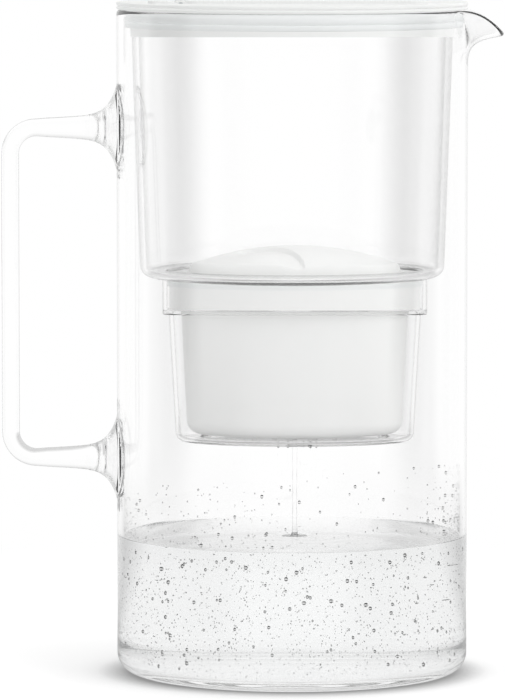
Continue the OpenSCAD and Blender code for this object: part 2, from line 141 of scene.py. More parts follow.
def unite(piece: Piece, other: Piece, operation: str = "UNION") -> None:
    """Joins another solid to a piece, or cuts it away, and removes it.

    Args:
        piece: the solid that stays.
        other: the solid that is used up.
        operation: the name of the boolean operation.
    """
    activate(piece)
    weld = piece.modifiers.new("weld", "BOOLEAN")
    weld.operation = operation
    weld.solver = "EXACT"
    weld.object = other
    bpy.ops.object.modifier_apply(modifier=weld.name)
    bpy.data.objects.remove(other)
    shade(piece)


def points_of(piece: Piece) -> np.ndarray:
    """The vertices of a piece, in millimetres, one row each."""
    flat = np.empty(len(piece.data.vertices) * 3)
    piece.data.vertices.foreach_get("co", flat)
    return flat.reshape(-1, 3) / MM


def move_points(piece: Piece, points: np.ndarray) -> None:
    """Puts the vertices of a piece at new places."""
    piece.data.vertices.foreach_set("co", (points * MM).ravel())
    piece.data.update()


def arc(cx: float, cz: float, r: float, start: float, end: float, steps: int) -> list[tuple[float, float]]:
    """Points along an arc in a profile."""
    turns = [math.radians(start + (end - start) * i / steps) for i in range(steps + 1)]
    return [(cx + r * math.cos(t), cz + r * math.sin(t)) for t in turns]


def span(start: float, end: float, steps: int) -> list[float]:
    """Evenly spaced values from start to end, both included."""
    return [start + (end - start) * i / steps for i in range(steps + 1)]


def round_ring(r: float, z: float, count: int = ROUND) -> np.ndarray:
    """A level circle about the pitcher's axis."""
    return oval_ring(r, r, z, count)


def oval_ring(a: float, b: float, z: float, count: int = OVAL) -> np.ndarray:
    """A level ellipse about the pitcher's axis."""
    turn = np.linspace(0, 2 * math.pi, count, endpoint=False)
    return np.stack([a * np.cos(turn), b * np.sin(turn), np.full(count, z)], axis=1)


# ---- shader nodes ----


def linear(code: str) -> tuple[float, float, float, float]:
    """Turns an sRGB hex colour to the linear colour that shaders take."""
    parts = [int(code[i:i + 2], 16) / 255 for i in (1, 3, 5)]
    bent = [c / 12.92 if c <= 0.04045 else ((c + 0.055) / 1.055) ** 2.4 for c in parts]
    return bent[0], bent[1], bent[2], 1.0


def add_node(tree: Tree, kind: str, inputs: dict[str | int, Any] | None = None,
             **settings: Any) -> bpy.types.Node:
    """Adds a node with its settings, values and links.

    Args:
        tree: the node tree to add to.
        kind: the node's type name without its ShaderNode prefix.
        inputs: a value or an output socket for each input socket.
        settings: the node's own properties.

    Returns:
        The new node.
    """
    node = tree.nodes.new("ShaderNode" + kind)
    for key, value in settings.items():
        setattr(node, key, value)
    for key, value in (inputs or {}).items():
        if isinstance(value, Socket):
            tree.links.new(value, node.inputs[key])
        else:
            node.inputs[key].default_value = value
    return node


def maths(tree: Tree, operation: str, *values: Socket | float, clamp: bool = False) -> Socket:
    """The result of one sum."""
    return add_node(tree, "Math", dict(enumerate(values)), operation=operation, use_clamp=clamp).outputs[0]


def carry(tree: Tree, value: Socket, source: Span = (0.0, 1.0),
          target: tuple[Socket | float, Socket | float] = (0.0, 1.0), **settings: Any) -> Socket:
    """A value carried over from one range to another and held within it."""
    return add_node(tree, "MapRange", {
        "Value": value, "From Min": source[0], "From Max": source[1],
        "To Min": target[0], "To Max": target[1]}, **settings).outputs[0]


def blend(tree: Tree, share: Socket, first: Socket | float, second: Socket | float) -> Socket:
    """A number between two: the first where share is 0, the second where it is 1."""
    return add_node(tree, "Mix", {0: share, 2: first, 3: second}, data_type="FLOAT").outputs[0]


def tone(tree: Tree, share: Socket, first: str, second: str) -> Socket:
    """A colour between two hex colours: the first where share is 0, the second where it is 1."""
    return add_node(tree, "MixRGB", {"Fac": share, "Color1": linear(first),
                                     "Color2": linear(second)}).outputs[0]


def relief(tree: Tree, height: Socket, depth_mm: float, **settings: Any) -> Socket:
    """The normal of a surface that stands out by depth_mm where height is 1."""
    return add_node(tree, "Bump", {"Height": height, "Strength": 1.0, "Distance": depth_mm * MM},
                    **settings).outputs[0]


def object_place(tree: Tree) -> Socket:
    """Where a point lies in its object."""
    return add_node(tree, "TexCoord").outputs["Object"]


def noise_height(tree: Tree, size: float, detail: float = 2.0,
                 stretch: tuple[float, float, float] = (1, 1, 1)) -> Socket:
    """A soft noise pattern of a given grain."""
    placed = add_node(tree, "Mapping", {"Vector": object_place(tree), "Scale": stretch})
    noise = add_node(tree, "TexNoise", {"Vector": placed.outputs[0], "Scale": 1 / (size * MM),
                                        "Detail": detail})
    return noise.outputs["Fac"]


def new_material(name: str) -> tuple[bpy.types.Material, Tree, bpy.types.Node]:
    """An empty node material."""
    material = bpy.data.materials.new(name)
    material.use_nodes = True
    tree = material.node_tree
    tree.nodes.clear()
    return material, tree, add_node(tree, "OutputMaterial")


def show(tree: Tree, out: bpy.types.Node, shader: bpy.types.Node) -> None:
    """Makes a shader the surface of a material."""
    tree.links.new(shader.outputs[0], out.inputs["Surface"])


# ---- finishes ----


@dataclass(frozen=True)
class ClearBody:
    """A clear solid that bends light, and whose base colour can be painted darker: painted shade at its
    outlines and in bands.

    Attributes:
        name: what it is made of, and how.
        ior: its refractive index.
        rim: the share of the base colour kept where the surface is seen edge-on, a painted shade that
            outlines the piece.
        edge_shade_from: how far the surface turns from the eye before that painted shade starts, from 0 to
            1.
        edge_shade_to: how far it turns where the painted shade is complete.
        shade_band_mm: the lowest and highest height of a band whose base colour is painted nearly black, a
            painted shade line.
        shade_band_core: the share of the band's height that is at its darkest.
        shade_band_tone: the share of the base colour that the painted band keeps.
        painted_tone: a grey painted over the skin's base colour where it has no painted rim: painted shade.
        ripple_height: the height in millimetres of the waves in its surface.
        ripple_mm: the width of the waves.
        ripple_stretch: how much the waves are squeezed along each axis.
        veil: the share of lamplight that passes each face on its way to what stands behind.
        passed: the colour of white light after absorb_mm of the material.
        absorb_mm: the length over which that colour is reached.
    """

    name: str
    ior: float
    rim: float = 1.0
    edge_shade_from: float = 0.8
    edge_shade_to: float = 0.96
    shade_band_mm: Span = (0.0, 0.0)
    shade_band_core: float = 0.6
    shade_band_tone: float = 0.03
    painted_tone: float = 1.0
    ripple_height: float = 0.0
    ripple_mm: float = 40.0
    ripple_stretch: tuple[float, float, float] = (1, 1, 0.35)
    veil: float = 1.0
    passed: str = "#ffffff"
    absorb_mm: float = 100.0

    def material(self) -> bpy.types.Material:
        """The material, with its absorption as a volume."""
        material, tree, out = new_material(self.name)
        # painted shade: the base colour is greyed over the whole skin unless an outline is painted
        glass = add_node(tree, "BsdfPrincipled", {
            "Base Color": (self.painted_tone, self.painted_tone, self.painted_tone, 1), "Roughness": 0.0, "IOR": self.ior,
            "Transmission Weight": 1.0})
        # painted shade: the base colour darkens where the surface turns edge-on to the eye, drawing a dark
        # outline
        if self.rim < 1:
            turned = add_node(tree, "LayerWeight", {"Blend": 0.5}).outputs["Facing"]
            rim = carry(tree, turned, (self.edge_shade_from, self.edge_shade_to), (1.0, self.rim))
            # painted shade: a level band of the skin is darkened nearly to black
            if self.shade_band_mm[1]:
                rim = maths(tree, "MULTIPLY", rim, self.shade_band(tree))
            tree.links.new(rim, glass.inputs["Base Color"])
        if self.ripple_height:
            wave = noise_height(tree, self.ripple_mm, 1.0, self.ripple_stretch)
            tree.links.new(relief(tree, wave, self.ripple_height), glass.inputs["Normal"])
        skin = glass
        if self.veil < 1:
            path = add_node(tree, "LightPath").outputs
            lit = maths(tree, "ADD", path["Is Shadow Ray"], path["Diffuse Depth"], clamp=True)
            thin = add_node(tree, "BsdfTransparent", {"Color": (self.veil, self.veil, self.veil, 1)})
            skin = add_node(tree, "MixShader", {0: lit, 1: glass.outputs[0], 2: thin.outputs[0]})
        show(tree, out, skin)
        loss = [-math.log(c) / (self.absorb_mm * MM) for c in linear(self.passed)[:3]]
        if max(loss) > 0:
            density = max(loss) / 0.5
            colour = tuple(1 - k / density for k in loss) + (1.0,)
            volume = add_node(tree, "VolumeAbsorption", {"Color": colour, "Density": density})
            tree.links.new(volume.outputs[0], out.inputs["Volume"])
        return material

    def shade_band(self, tree: Tree) -> Socket:
        """The share of the base colour kept at each height: hardly any within the painted shade band."""
        height = add_node(tree, "SeparateXYZ", {0: object_place(tree)}).outputs[2]
        half = (self.shade_band_mm[1] - self.shade_band_mm[0]) / 2 * MM
        off = maths(tree, "SUBTRACT", height, sum(self.shade_band_mm) / 2 * MM)
        return carry(tree, maths(tree, "ABSOLUTE", off), (half * self.shade_band_core, half),
                     (self.shade_band_tone, 1.0))


@dataclass(frozen=True)
class SmallDrop:
    """A bubble or a bead whose upper half is painted dark, as painted shade for the light that its top
    throws up.

    Attributes:
        name: what it is.
        ior: its index against what surrounds it.
        painted_top_from: how far a face looks up where its painted shade starts, and where it is darkest.
        painted_top_tone: the share of the colour that its painted dark top keeps.
    """

    name: str
    ior: float
    painted_top_from: Span = (0.1, 0.5)
    painted_top_tone: float = 0.1

    def material(self) -> bpy.types.Material:
        """The material."""
        material, tree, out = new_material(self.name)
        # painted shade: faces that look up get a darker colour
        up = add_node(tree, "SeparateXYZ", {0: add_node(tree, "NewGeometry").outputs["Normal"]}).outputs[2]
        share = carry(tree, up, self.painted_top_from, (1.0, self.painted_top_tone))
        show(tree, out, add_node(tree, "BsdfGlass", {"Color": share, "Roughness": 0.0, "IOR": self.ior}))
        return material


@dataclass(frozen=True)
class MouldedPlastic:
    """A moulded plastic, opaque or milky, with a fine spark-eroded grain.

    Attributes:
        name: what it is made of, and how.
        colour: its colour.
        shade: the colour that it drifts to in soft patches, from the resin's flow.
        roughness: the blur of its gloss.
        clear: the share of light that goes through without being scattered.
        ior: its refractive index.
        grain_mm: the width of the tool's grain.
        grain_height: the grain's height in millimetres.
        drift_mm: the width of the soft patches.
        gloss_drift: how much the gloss differs between them.
    """

    name: str
    colour: str
    shade: str
    roughness: float
    clear: float
    ior: float
    grain_mm: float
    grain_height: float
    drift_mm: float = 26.0
    gloss_drift: float = 0.04

    def material(self) -> bpy.types.Material:
        """The material."""
        material, tree, out = new_material(self.name)
        drift = noise_height(tree, self.drift_mm)
        gloss = (self.roughness - self.gloss_drift, self.roughness + self.gloss_drift)
        show(tree, out, add_node(tree, "BsdfPrincipled", {
            "Base Color": tone(tree, drift, self.colour, self.shade),
            "Roughness": carry(tree, drift, target=gloss), "IOR": self.ior,
            "Transmission Weight": self.clear,
            "Normal": relief(tree, noise_height(tree, self.grain_mm, 3.0), self.grain_height)}))
        return material


@dataclass(frozen=True)
class Granules:
    """A bed of grains, each cell a grain with its own shade.

    Attributes:
        name: what it is made of.
        dark: the darkest grain's colour.
        light: the lightest grain's colour.
        grain_mm: the width of a grain.
        roughness: the blur of a grain's gloss.
        stand: how far a grain stands out, as a share of its width.
    """

    name: str
    dark: str
    light: str
    grain_mm: float
    roughness: float
    stand: float = 0.5

    def material(self) -> bpy.types.Material:
        """The material."""
        material, tree, out = new_material(self.name)
        scale = 1 / (self.grain_mm * MM)
        cells = add_node(tree, "TexVoronoi", {"Vector": object_place(tree), "Scale": scale})
        grain = add_node(tree, "SeparateColor", {"Color": cells.outputs["Color"]}).outputs[0]
        show(tree, out, add_node(tree, "BsdfPrincipled", {
            "Base Color": tone(tree, grain, self.dark, self.light), "Roughness": self.roughness,
            "Normal": relief(tree, cells.outputs["Distance"], self.grain_mm * self.stand, invert=True)}))
        return material


@dataclass(frozen=True)
class WovenMesh:
    """A woven screen of round threads, or a fleece when its threads lie close.

    Attributes:
        name: what it is made of, and how.
        thread: the colour on top of a thread.
        gap: the colour between threads.
        pitch_mm: the spacing of the threads.
        roughness: the blur of their gloss.
        stand: how far a thread stands out, as a share of the spacing.
    """

    name: str
    thread: str
    gap: str
    pitch_mm: float
    roughness: float = 0.7
    stand: float = 0.3

    def material(self) -> bpy.types.Material:
        """The material."""
        material, tree, out = new_material(self.name)
        where = object_place(tree)
        # a band node's wave repeats every 2 pi / 20 of its scaled coordinate
        scale = math.pi / 10 / (self.pitch_mm * MM)
        waves = [add_node(tree, "TexWave", {"Vector": where, "Scale": scale}, bands_direction=way)
                 for way in ("X", "Y")]
        height = maths(tree, "MAXIMUM", waves[0].outputs["Fac"], waves[1].outputs["Fac"])
        show(tree, out, add_node(tree, "BsdfPrincipled", {
            "Base Color": tone(tree, height, self.gap, self.thread), "Roughness": self.roughness,
            "Normal": relief(tree, height, self.pitch_mm * self.stand)}))
        return material


@dataclass(frozen=True)
class TurnedSteel:
    """A drawn steel pin with fine lines round it.

    Attributes:
        name: what it is made of, and how.
        colour: the metal's colour.
        line_mm: the spacing of the lines, drawn coarse enough to show.
        line_stretch: how much the lines are squeezed along each axis.
        gloss: the least and the most blur along them.
    """

    name: str
    colour: str
    line_mm: float
    line_stretch: tuple[float, float, float] = (0.05, 1, 0.05)
    gloss: Span = (0.18, 0.38)

    def material(self) -> bpy.types.Material:
        """The material."""
        material, tree, out = new_material(self.name)
        lines = noise_height(tree, self.line_mm, 2.0, self.line_stretch)
        show(tree, out, add_node(tree, "BsdfPrincipled", {
            "Base Color": linear(self.colour), "Metallic": 1.0,
            "Roughness": carry(tree, lines, target=self.gloss)}))
        return material


class Finish(Enum):
    """A named choice of finishes."""

    def material(self) -> bpy.types.Material:
        """The finish's material, made once and shared by its pieces."""
        return bpy.data.materials.get(self.value.name) or self.value.material()


class Stock(Finish):
    """The finishes of the pitcher, one for each stock that its pieces are made of."""

    # blown and lathe-worked glass: a faint drawn wave, and a painted cool grey outline where it is seen
    # edge-on
    BOROSILICATE = ClearBody("borosilicate_glass_drawn", GLASS_IOR, 0.3, 0.8, ripple_height=0.002)
    # the same glass on the inside of the wall, whose turned face isn't seen as a line of its own
    BOROSILICATE_BORE = ClearBody("borosilicate_glass_bore", GLASS_IOR)
    # the same glass as a solid rod: a crisp painted grey outline, begun sooner than the wall's, as painted
    # shade for a rod that bends light far more than a thin wall
    BOROSILICATE_ROD = ClearBody("borosilicate_glass_rod", GLASS_IOR, 0.3, 0.5, ripple_height=0.002)
    # clear moulded copolymer: crisper, darker painted outlines than glass, as painted shade for its higher
    # index, and a band painted nearly black where the hopper meets the tub
    CLEAR_COPOLYMER = ClearBody("styrene_copolymer_clear_moulded", COPOLYMER_IOR, 0.0, 0.72,
                                shade_band_mm=(157.5, 158.78))
    # the same plastic at the edge of the mouth in the hopper's floor, painted nearly black: a painted shade
    # line for the light that it throws down
    MOUTH_EDGE_SHADE = ClearBody("styrene_copolymer_mouth_edge_painted_shade", COPOLYMER_IOR, painted_tone=0.005)
    # the same plastic on the spout side of the hopper: a broader, darker painted outline, painted shade on
    # that side
    SPOUT_SIDE_SHADE = ClearBody("styrene_copolymer_spout_side_painted_shade", COPOLYMER_IOR, 0.0, 0.62)
    # milky polypropylene: lets light through but nothing to see
    MILKY_PP = MouldedPlastic("polypropylene_milky_moulded", "#e8e9e8", "#e2e3e2", 0.36, 0.12,
                              PP_IOR, 0.7, 0.01)
    # soft silicone: cooler and less glossy than the plastic round it
    SILICONE = MouldedPlastic("silicone_moulded", "#e2e4e4", "#dcdede", 0.45, 0.15, 1.41, 0.5, 0.01)
    # white filled polypropylene: plain white with a satin sheen
    WHITE_PP = MouldedPlastic("polypropylene_white_moulded", "#e9e9e8", "#e5e6e5", 0.42, 0.0,
                              PP_IOR, 0.6, 0.008)
    # stainless steel, drawn and cut: fine lines in a cool shine
    STEEL = TurnedSteel("stainless_steel_drawn", "#c9cbcd", 0.15)
    # activated coconut charcoal: matt black grains
    CARBON = Granules("activated_carbon_granules", "#17181a", "#3a3b3e", 1.1, 0.75)
    # ion-exchange resin: small amber beads with a wet gloss
    RESIN = Granules("ion_exchange_resin_beads", "#b67c2c", "#e3b566", 0.8, 0.3)
    # woven polyester screen: fine square weave
    SCREEN = WovenMesh("polyester_screen_woven", "#f2f2ee", "#b9b9b2", 0.8)
    # needled fleece: tighter, softer weave
    FLEECE = WovenMesh("polyester_fleece_needled", "#f4f3ee", "#dddcd5", 0.5)


def dress(piece: Piece, finish: Finish) -> None:
    """Gives every face of a piece one finish."""
    piece.data.materials.clear()
    piece.data.materials.append(finish.material())


def dress_where(piece: Piece, finish: Finish, inside: np.ndarray) -> None:
    """Gives some faces of a dressed piece a further finish."""
    piece.data.materials.append(finish.material())
    slots = np.zeros(len(piece.data.polygons), dtype=np.int32)
    piece.data.polygons.foreach_get("material_index", slots)
    slots[inside] = len(piece.data.materials) - 1
    piece.data.polygons.foreach_set("material_index", slots)
    piece.data.update()


def centres_of(piece: Piece) -> np.ndarray:
    """The middle of each face of a piece, in millimetres, one row each."""
    flat = np.empty(len(piece.data.polygons) * 3)
    piece.data.polygons.foreach_get("center", flat)
    return flat.reshape(-1, 3) / MM


def let_lamps_through(piece: Piece) -> None:
    """Lets lamps light what stands behind a clear piece, as the real one does."""
    piece.visible_shadow = False
    piece.visible_diffuse = False


# ---- jug ----


@dataclass
class GlassJug:
    """The blown jug: a straight tube with a pulled spout and a fused rod for a handle.

    Attributes are lengths in millimetres, apart from the powers, shares and gains that bend a curve.
    """

    outer_r: float = 70.0
    height: float = 264.9
    wall: float = 2.8
    floor: float = 4.5
    base_round: float = 8.0
    punt: float = 1.1
    punt_in: float = 3.0
    foot_in: float = 2.5
    worked_from: float = 236.0
    bore_to: float = 243.0
    spout_width: float = 48.0
    spout_reach: float = 14.4
    spout_root: float = 20.5
    spout_side: float = 2.6
    spout_drop: float = 9.2
    spout_wall: float = 2.0
    flare_power: float = 2.4
    rise_power: float = 1.9
    lip_power: float = 8.0
    lip_share: float = 0.07
    reach_power: float = 1.3
    drop_power: float = 2.7
    pinch: float = 0.12
    rod_r: float = 3.55
    grip_x: float = 112.45
    arm_high: float = 218.0
    arm_low: float = 86.0
    bend: float = 10.5
    arm_gain: float = 1.45
    arm_power: float = 0.75
    foot_gain: float = 11.9
    foot_spread: float = 3.6
    press_spread: float = 6.0
    weld_r: float = 9.0
    flare_wall: float = 2.0
    flare_tip: float = 1.6
    rod_from: float = 5.0

    @property
    def top(self) -> float:
        """The height at which the wall turns into its rounded rim."""
        return self.height - self.wall / 2

    @property
    def spout_half(self) -> float:
        """Half the angle that the spout takes of the rim."""
        return math.asin(self.spout_width / 2 / self.outer_r)

    def tube_profile(self) -> list[tuple[float, float]]:
        """Distance and height of each ring, from under the base over the rim to the floor."""
        heel = self.outer_r - self.base_round
        inner = self.outer_r - self.wall
        cove = self.base_round - self.wall
        under = [(0.0, self.punt)]
        under += [(r, self.punt * (1 - (r / (heel - self.punt_in)) ** 2))
                  for r in FLOOR_RADII[:-1] + (heel - 2 * self.foot_in,)]
        under += [(heel - self.foot_in, 0.0)]
        under += arc(heel, self.base_round, self.base_round, -90, 0, 12)
        straight = span(self.base_round, self.worked_from, 29)[1:]
        worked = span(self.worked_from, self.top, 22)[1:]
        rim = arc(self.outer_r - self.wall / 2, self.top, self.wall / 2, 0, 180, 10)
        down = [(inner, z) for z in worked[-2::-1] + straight[::-1]]
        foot = arc(heel, self.floor + cove, cove, 0, -90, 9)
        floor = [(r, self.floor + self.punt * (1 - (r / heel) ** 2)) for r in FLOOR_RADII[::-1] + (0,)]
        outer = [(self.outer_r, z) for z in straight + worked[:-1]]
        return under + outer + rim + down + foot + floor

    def spout_sheet(self, turn: np.ndarray, z: np.ndarray) -> np.ndarray:
        """The outside of the wall, pulled out to a spout about +X.

        Args:
            turn: the angle of each point from +X.
            z: its height on the plain tube.

        Returns:
            One row per point.
        """
        across = np.clip(np.abs(turn) / self.spout_half, 0, 1)
        bow = np.sqrt(1 - across ** 2)
        root = self.top - self.spout_side - (self.spout_root - self.spout_side) * bow
        rise = np.clip((z - root) / (self.top - root), 0, 1)
        out = rise ** self.flare_power
        up = (1 - self.lip_share) * (1 - (1 - rise) ** self.rise_power)
        up += self.lip_share * rise ** self.lip_power
        reach = (self.spout_reach - self.spout_wall / 2) * (1 - across ** 2) ** self.reach_power
        lip = self.top - self.spout_drop * (1 - across ** 2) ** self.drop_power
        r = self.outer_r + reach * out
        pulled = (rise > 0) & (across < 1)
        height = np.where(pulled, root + (lip - root) * up, z)
        angle = turn * (1 - self.pinch * out * (1 - across ** 4))
        return np.stack([r * np.cos(angle), r * np.sin(angle), height], axis=1)

    def pull_spout(self, points: np.ndarray) -> np.ndarray:
        """Pulls the plain tube's rim out to the spout, both sides of the wall together.

        Args:
            points: the vertices of the plain tube.

        Returns:
            Their new places.
        """
        turn = np.arctan2(points[:, 1], points[:, 0])
        r = np.hypot(points[:, 0], points[:, 1])
        near = (np.abs(turn) < self.spout_half) & (points[:, 2] > self.worked_from)
        turn, r, z = turn[near], r[near], points[near, 2]
        on_wall = np.minimum(z, self.top)
        down, aside = 0.02, 0.001
        here = self.spout_sheet(turn, on_wall)
        below = self.spout_sheet(turn, on_wall - down)
        beside = self.spout_sheet(turn + aside, on_wall) - self.spout_sheet(turn - aside, on_wall)
        along = here - below
        along /= np.linalg.norm(along, axis=1, keepdims=True)
        out = np.cross(beside, along)
        out /= np.linalg.norm(out, axis=1, keepdims=True)
        drawn = 1 - (turn / self.spout_half) ** 2
        lean = np.clip((on_wall - self.top + self.spout_root) / self.spout_root, 0, 1)
        thin = 1 - (1 - self.spout_wall / self.wall) * drawn * lean
        depth = ((self.outer_r - r) * thin)[:, None]
        lift = ((z - on_wall) * thin)[:, None]
        moved = points.copy()
        moved[near] = here - out * depth + along * lift
        return moved

    def rod_r_at(self, gap: float) -> float:
        """The rod's radius where an arm is gap millimetres away from the wall."""
        reach = self.grip_x - self.bend - self.outer_r
        share = max(0.0, 1 - max(gap, 0.0) / reach)
        foot = self.foot_gain * math.exp(-gap / self.foot_spread)
        return self.rod_r + self.arm_gain * share ** self.arm_power + foot

    def arm_ring(self, gap: float, z: float, r: float) -> np.ndarray:
        """A ring of an arm, pressed to the wall's curve as it nears the wall."""
        turn = np.linspace(0, 2 * math.pi, ARM, endpoint=False)
        y = r * np.sin(turn)
        press = math.exp(-max(gap, 0.0) / self.press_spread)
        x = -self.outer_r - gap + press * (self.outer_r - np.sqrt(self.outer_r ** 2 - y ** 2))
        return np.stack([x, y, z + r * np.cos(turn)], axis=1)

    def rod_rings(self) -> list[np.ndarray]:
        """Rings along the whole rod, from its upper foot round the grip to its lower foot."""
        arm_end = self.grip_x - self.bend
        gaps = [-0.9, -0.45, 0, 0.35, 0.8, 1.3, 1.9, 2.7, 3.7, 5, 6.6, 8.6, 11, 14, 18, 23, 28]
        turn = np.linspace(0, 2 * math.pi, ARM, endpoint=False)

        def arm(z: float) -> list[np.ndarray]:
            """The rings of the arm at a height, from within the wall outwards."""
            rings = [self.arm_ring(-1.2, z, 0.0), self.arm_ring(-1.1, z, self.weld_r)]
            return rings + [self.arm_ring(g, z, self.rod_r_at(g)) for g in gaps]

        def at(x: float, z: float, lean: float) -> np.ndarray:
            """A ring whose plane leans by an angle from upright towards level."""
            side = self.rod_r * np.cos(turn)
            return np.stack([x - side * math.sin(lean), self.rod_r * np.sin(turn),
                             z + side * math.cos(lean)], axis=1)

        high = self.arm_high - self.bend
        low = self.arm_low + self.bend
        quarter = [math.radians(9 * i) for i in range(11)]
        bend = [at(-arm_end - self.bend * math.sin(a), high + self.bend * math.cos(a), a) for a in quarter]
        grip = [at(-self.grip_x, z, math.pi / 2) for z in span(high, low, 8)[1:-1]]
        back = [at(-arm_end - self.bend * math.cos(a), low - self.bend * math.sin(a), math.pi / 2 + a)
                for a in quarter]
        half = ARM // 2
        flipped = [np.concatenate([ring[half::-1], ring[:half:-1]]) for ring in arm(self.arm_low)[::-1]]
        return arm(self.arm_high) + bend + grip + back + flipped

    def hollow(self, z: float) -> Piece:
        """The air that the flare of an arm's foot closes in, from the wall to the end of the solid rod.

        Args:
            z: the height of the arm's axis.

        Returns:
            The air's shape.
        """
        gaps = [0.25, 0.6, 1.1, 1.7, 2.4, 3.2]
        radii = [self.rod_r_at(g) - self.flare_wall for g in gaps]
        rings = [self.arm_ring(gaps[0], z, 0.0)]
        rings += [self.arm_ring(gaps[0], z, radii[0] * s) for s in (0.35, 0.7)]
        rings += [self.arm_ring(g, z, r) for g, r in zip(gaps, radii)]
        rings += [self.arm_ring(gaps[-1] + self.flare_tip * math.sin(a), z, radii[-1] * math.cos(a))
                  for a in (0.35, 0.7, 1.05, 1.3, math.pi / 2)]
        return draw_rings("foot_air", rings)

    def build(self) -> Piece:
        """Blows the tube, pulls its spout and fuses the handle on."""
        jug = draw_rings("glass_jug", [round_ring(r, z) for r, z in self.tube_profile()])
        move_points(jug, self.pull_spout(points_of(jug)))
        unite(jug, draw_rings("glass_rod", self.rod_rings()))
        for z in (self.arm_high, self.arm_low):
            unite(jug, self.hollow(z), "DIFFERENCE")
        dress(jug, Stock.BOROSILICATE)
        middle = centres_of(jug)
        r = np.hypot(middle[:, 0], middle[:, 1])
        inside = (r < self.outer_r - self.wall / 2) & (middle[:, 2] < self.bore_to)
        dress_where(jug, Stock.BOROSILICATE_BORE, inside)
        dress_where(jug, Stock.BOROSILICATE_ROD, middle[:, 0] < -self.outer_r - self.rod_from)
        let_lamps_through(jug)
        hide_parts("jug_body", "jug_handle")
        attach(jug, "jug")
        return jug


# ---- oval pieces ----


@dataclass
class CartridgeOval:
    """The oval that the cartridge and what holds it share, with its offset towards the spout.

    Attributes are lengths in millimetres, here and in the pieces that use it.
    """

    offset: float = 1.1
    half_length: float = 45.4
    half_width: float = 25.9
    arch_reach: float = 34.4

    def ring(self, grow: float, z: float, rise: float = 0.0) -> np.ndarray:
        """The oval's outline grown outwards."""
        ring = oval_ring(self.half_length + grow, self.half_width + grow, z)
        ring[:, 0] += self.offset
        ring[:, 2] += rise * np.abs(ring[:, 1]) / self.arch_reach
        return ring

    def small(self, r: float, z: float) -> np.ndarray:
        """A round ring with as many points as the oval, for a hole or a pole."""
        return oval_ring(r, r, z) + (self.offset, 0, 0)


@dataclass
class Hopper:
    """The clear vessel for the unfiltered water, with the oval mouth for the cartridge."""

    oval: CartridgeOval
    floor_z: float = 158.8
    low_r: float = 60.8
    top_r: float = 63.9
    wall: float = 2.4
    floor: float = 2.2
    round_r: float = 4.5
    shoulder_z: float = 254.0
    shoulder_rise: float = 2.0
    skirt_r: float = 64.4
    neck_r: float = 62.45
    neck_z: float = 259.0
    neck_round: float = 0.5
    lap: float = 0.05
    hole_grow: float = 5.9
    edge: float = 0.3
    shoulder_in: float = 3.0
    neck_in: float = 0.2
    shade_side_from: float = 30.0

    def shoulder(self, r: float) -> np.ndarray:
        """The shoulder's ring at a radius: it follows the arch of the collar's lower edge."""
        ring = round_ring(r, self.shoulder_z - self.lap, OVAL)
        ring[:, 2] += self.shoulder_rise * np.abs(ring[:, 1]) / self.skirt_r
        return ring

    def build(self) -> Piece:
        """Moulds the vessel as one closed skin."""
        cone_z = self.floor_z + self.round_r
        inner_low = self.low_r - self.wall
        inner_top = self.top_r - self.wall
        cove = self.round_r - self.floor
        rings = [self.oval.ring(self.hole_grow, self.floor_z + self.edge)]
        rings += [self.oval.ring(self.hole_grow + self.edge, self.floor_z)]
        rings += [round_ring(r, z, OVAL) for r, z in
                  arc(self.low_r - self.round_r, cone_z, self.round_r, -90, 0, 9)]
        for share in span(0, 1, 8)[1:-1]:
            rings.append(round_ring(self.low_r + (self.top_r - self.low_r) * share,
                                    cone_z + (self.shoulder_z - self.shoulder_in - cone_z) * share, OVAL))
        rings += [self.shoulder(self.top_r), self.shoulder(self.neck_r)]
        lip = self.neck_round
        rings += [round_ring(r, z, OVAL) for r, z in
                  arc(self.neck_r - lip, self.neck_z - lip, lip, 0, 180, 6)]
        for share in span(1, 0, 8)[:-1]:
            rings.append(round_ring(inner_low + (inner_top - self.neck_in - inner_low) * share,
                                    cone_z + (self.shoulder_z - cone_z) * share, OVAL))
        rings += [round_ring(r, z, OVAL) for r, z in
                  arc(inner_low - cove, self.floor_z + self.floor + cove, cove, 0, -90, 7)]
        rings += [self.oval.ring(self.hole_grow + self.edge, self.floor_z + self.floor)]
        rings += [self.oval.ring(self.hole_grow, self.floor_z + self.floor - self.edge), rings[0]]
        hopper = draw_rings("hopper_vessel", rings)
        dress(hopper, Stock.CLEAR_COPOLYMER)
        middle = centres_of(hopper)
        # painted shade: faces towards the spout get the broader, darker painted outline
        shade_side = (middle[:, 0] > self.shade_side_from) & (middle[:, 2] > cone_z)
        dress_where(hopper, Stock.SPOUT_SIDE_SHADE, shade_side)
        # the near half of the mouth's own edge, which lies within this outline, painted nearly black as
        # painted shade
        grow = self.hole_grow + 0.2
        out = np.hypot((middle[:, 0] - self.oval.offset) / (self.oval.half_length + grow),
                       middle[:, 1] / (self.oval.half_width + grow))
        dress_where(hopper, Stock.MOUTH_EDGE_SHADE, (out < 1) & (middle[:, 1] < 0))
        let_lamps_through(hopper)
        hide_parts("hopper")
        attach(hopper, "funnel")
        return hopper


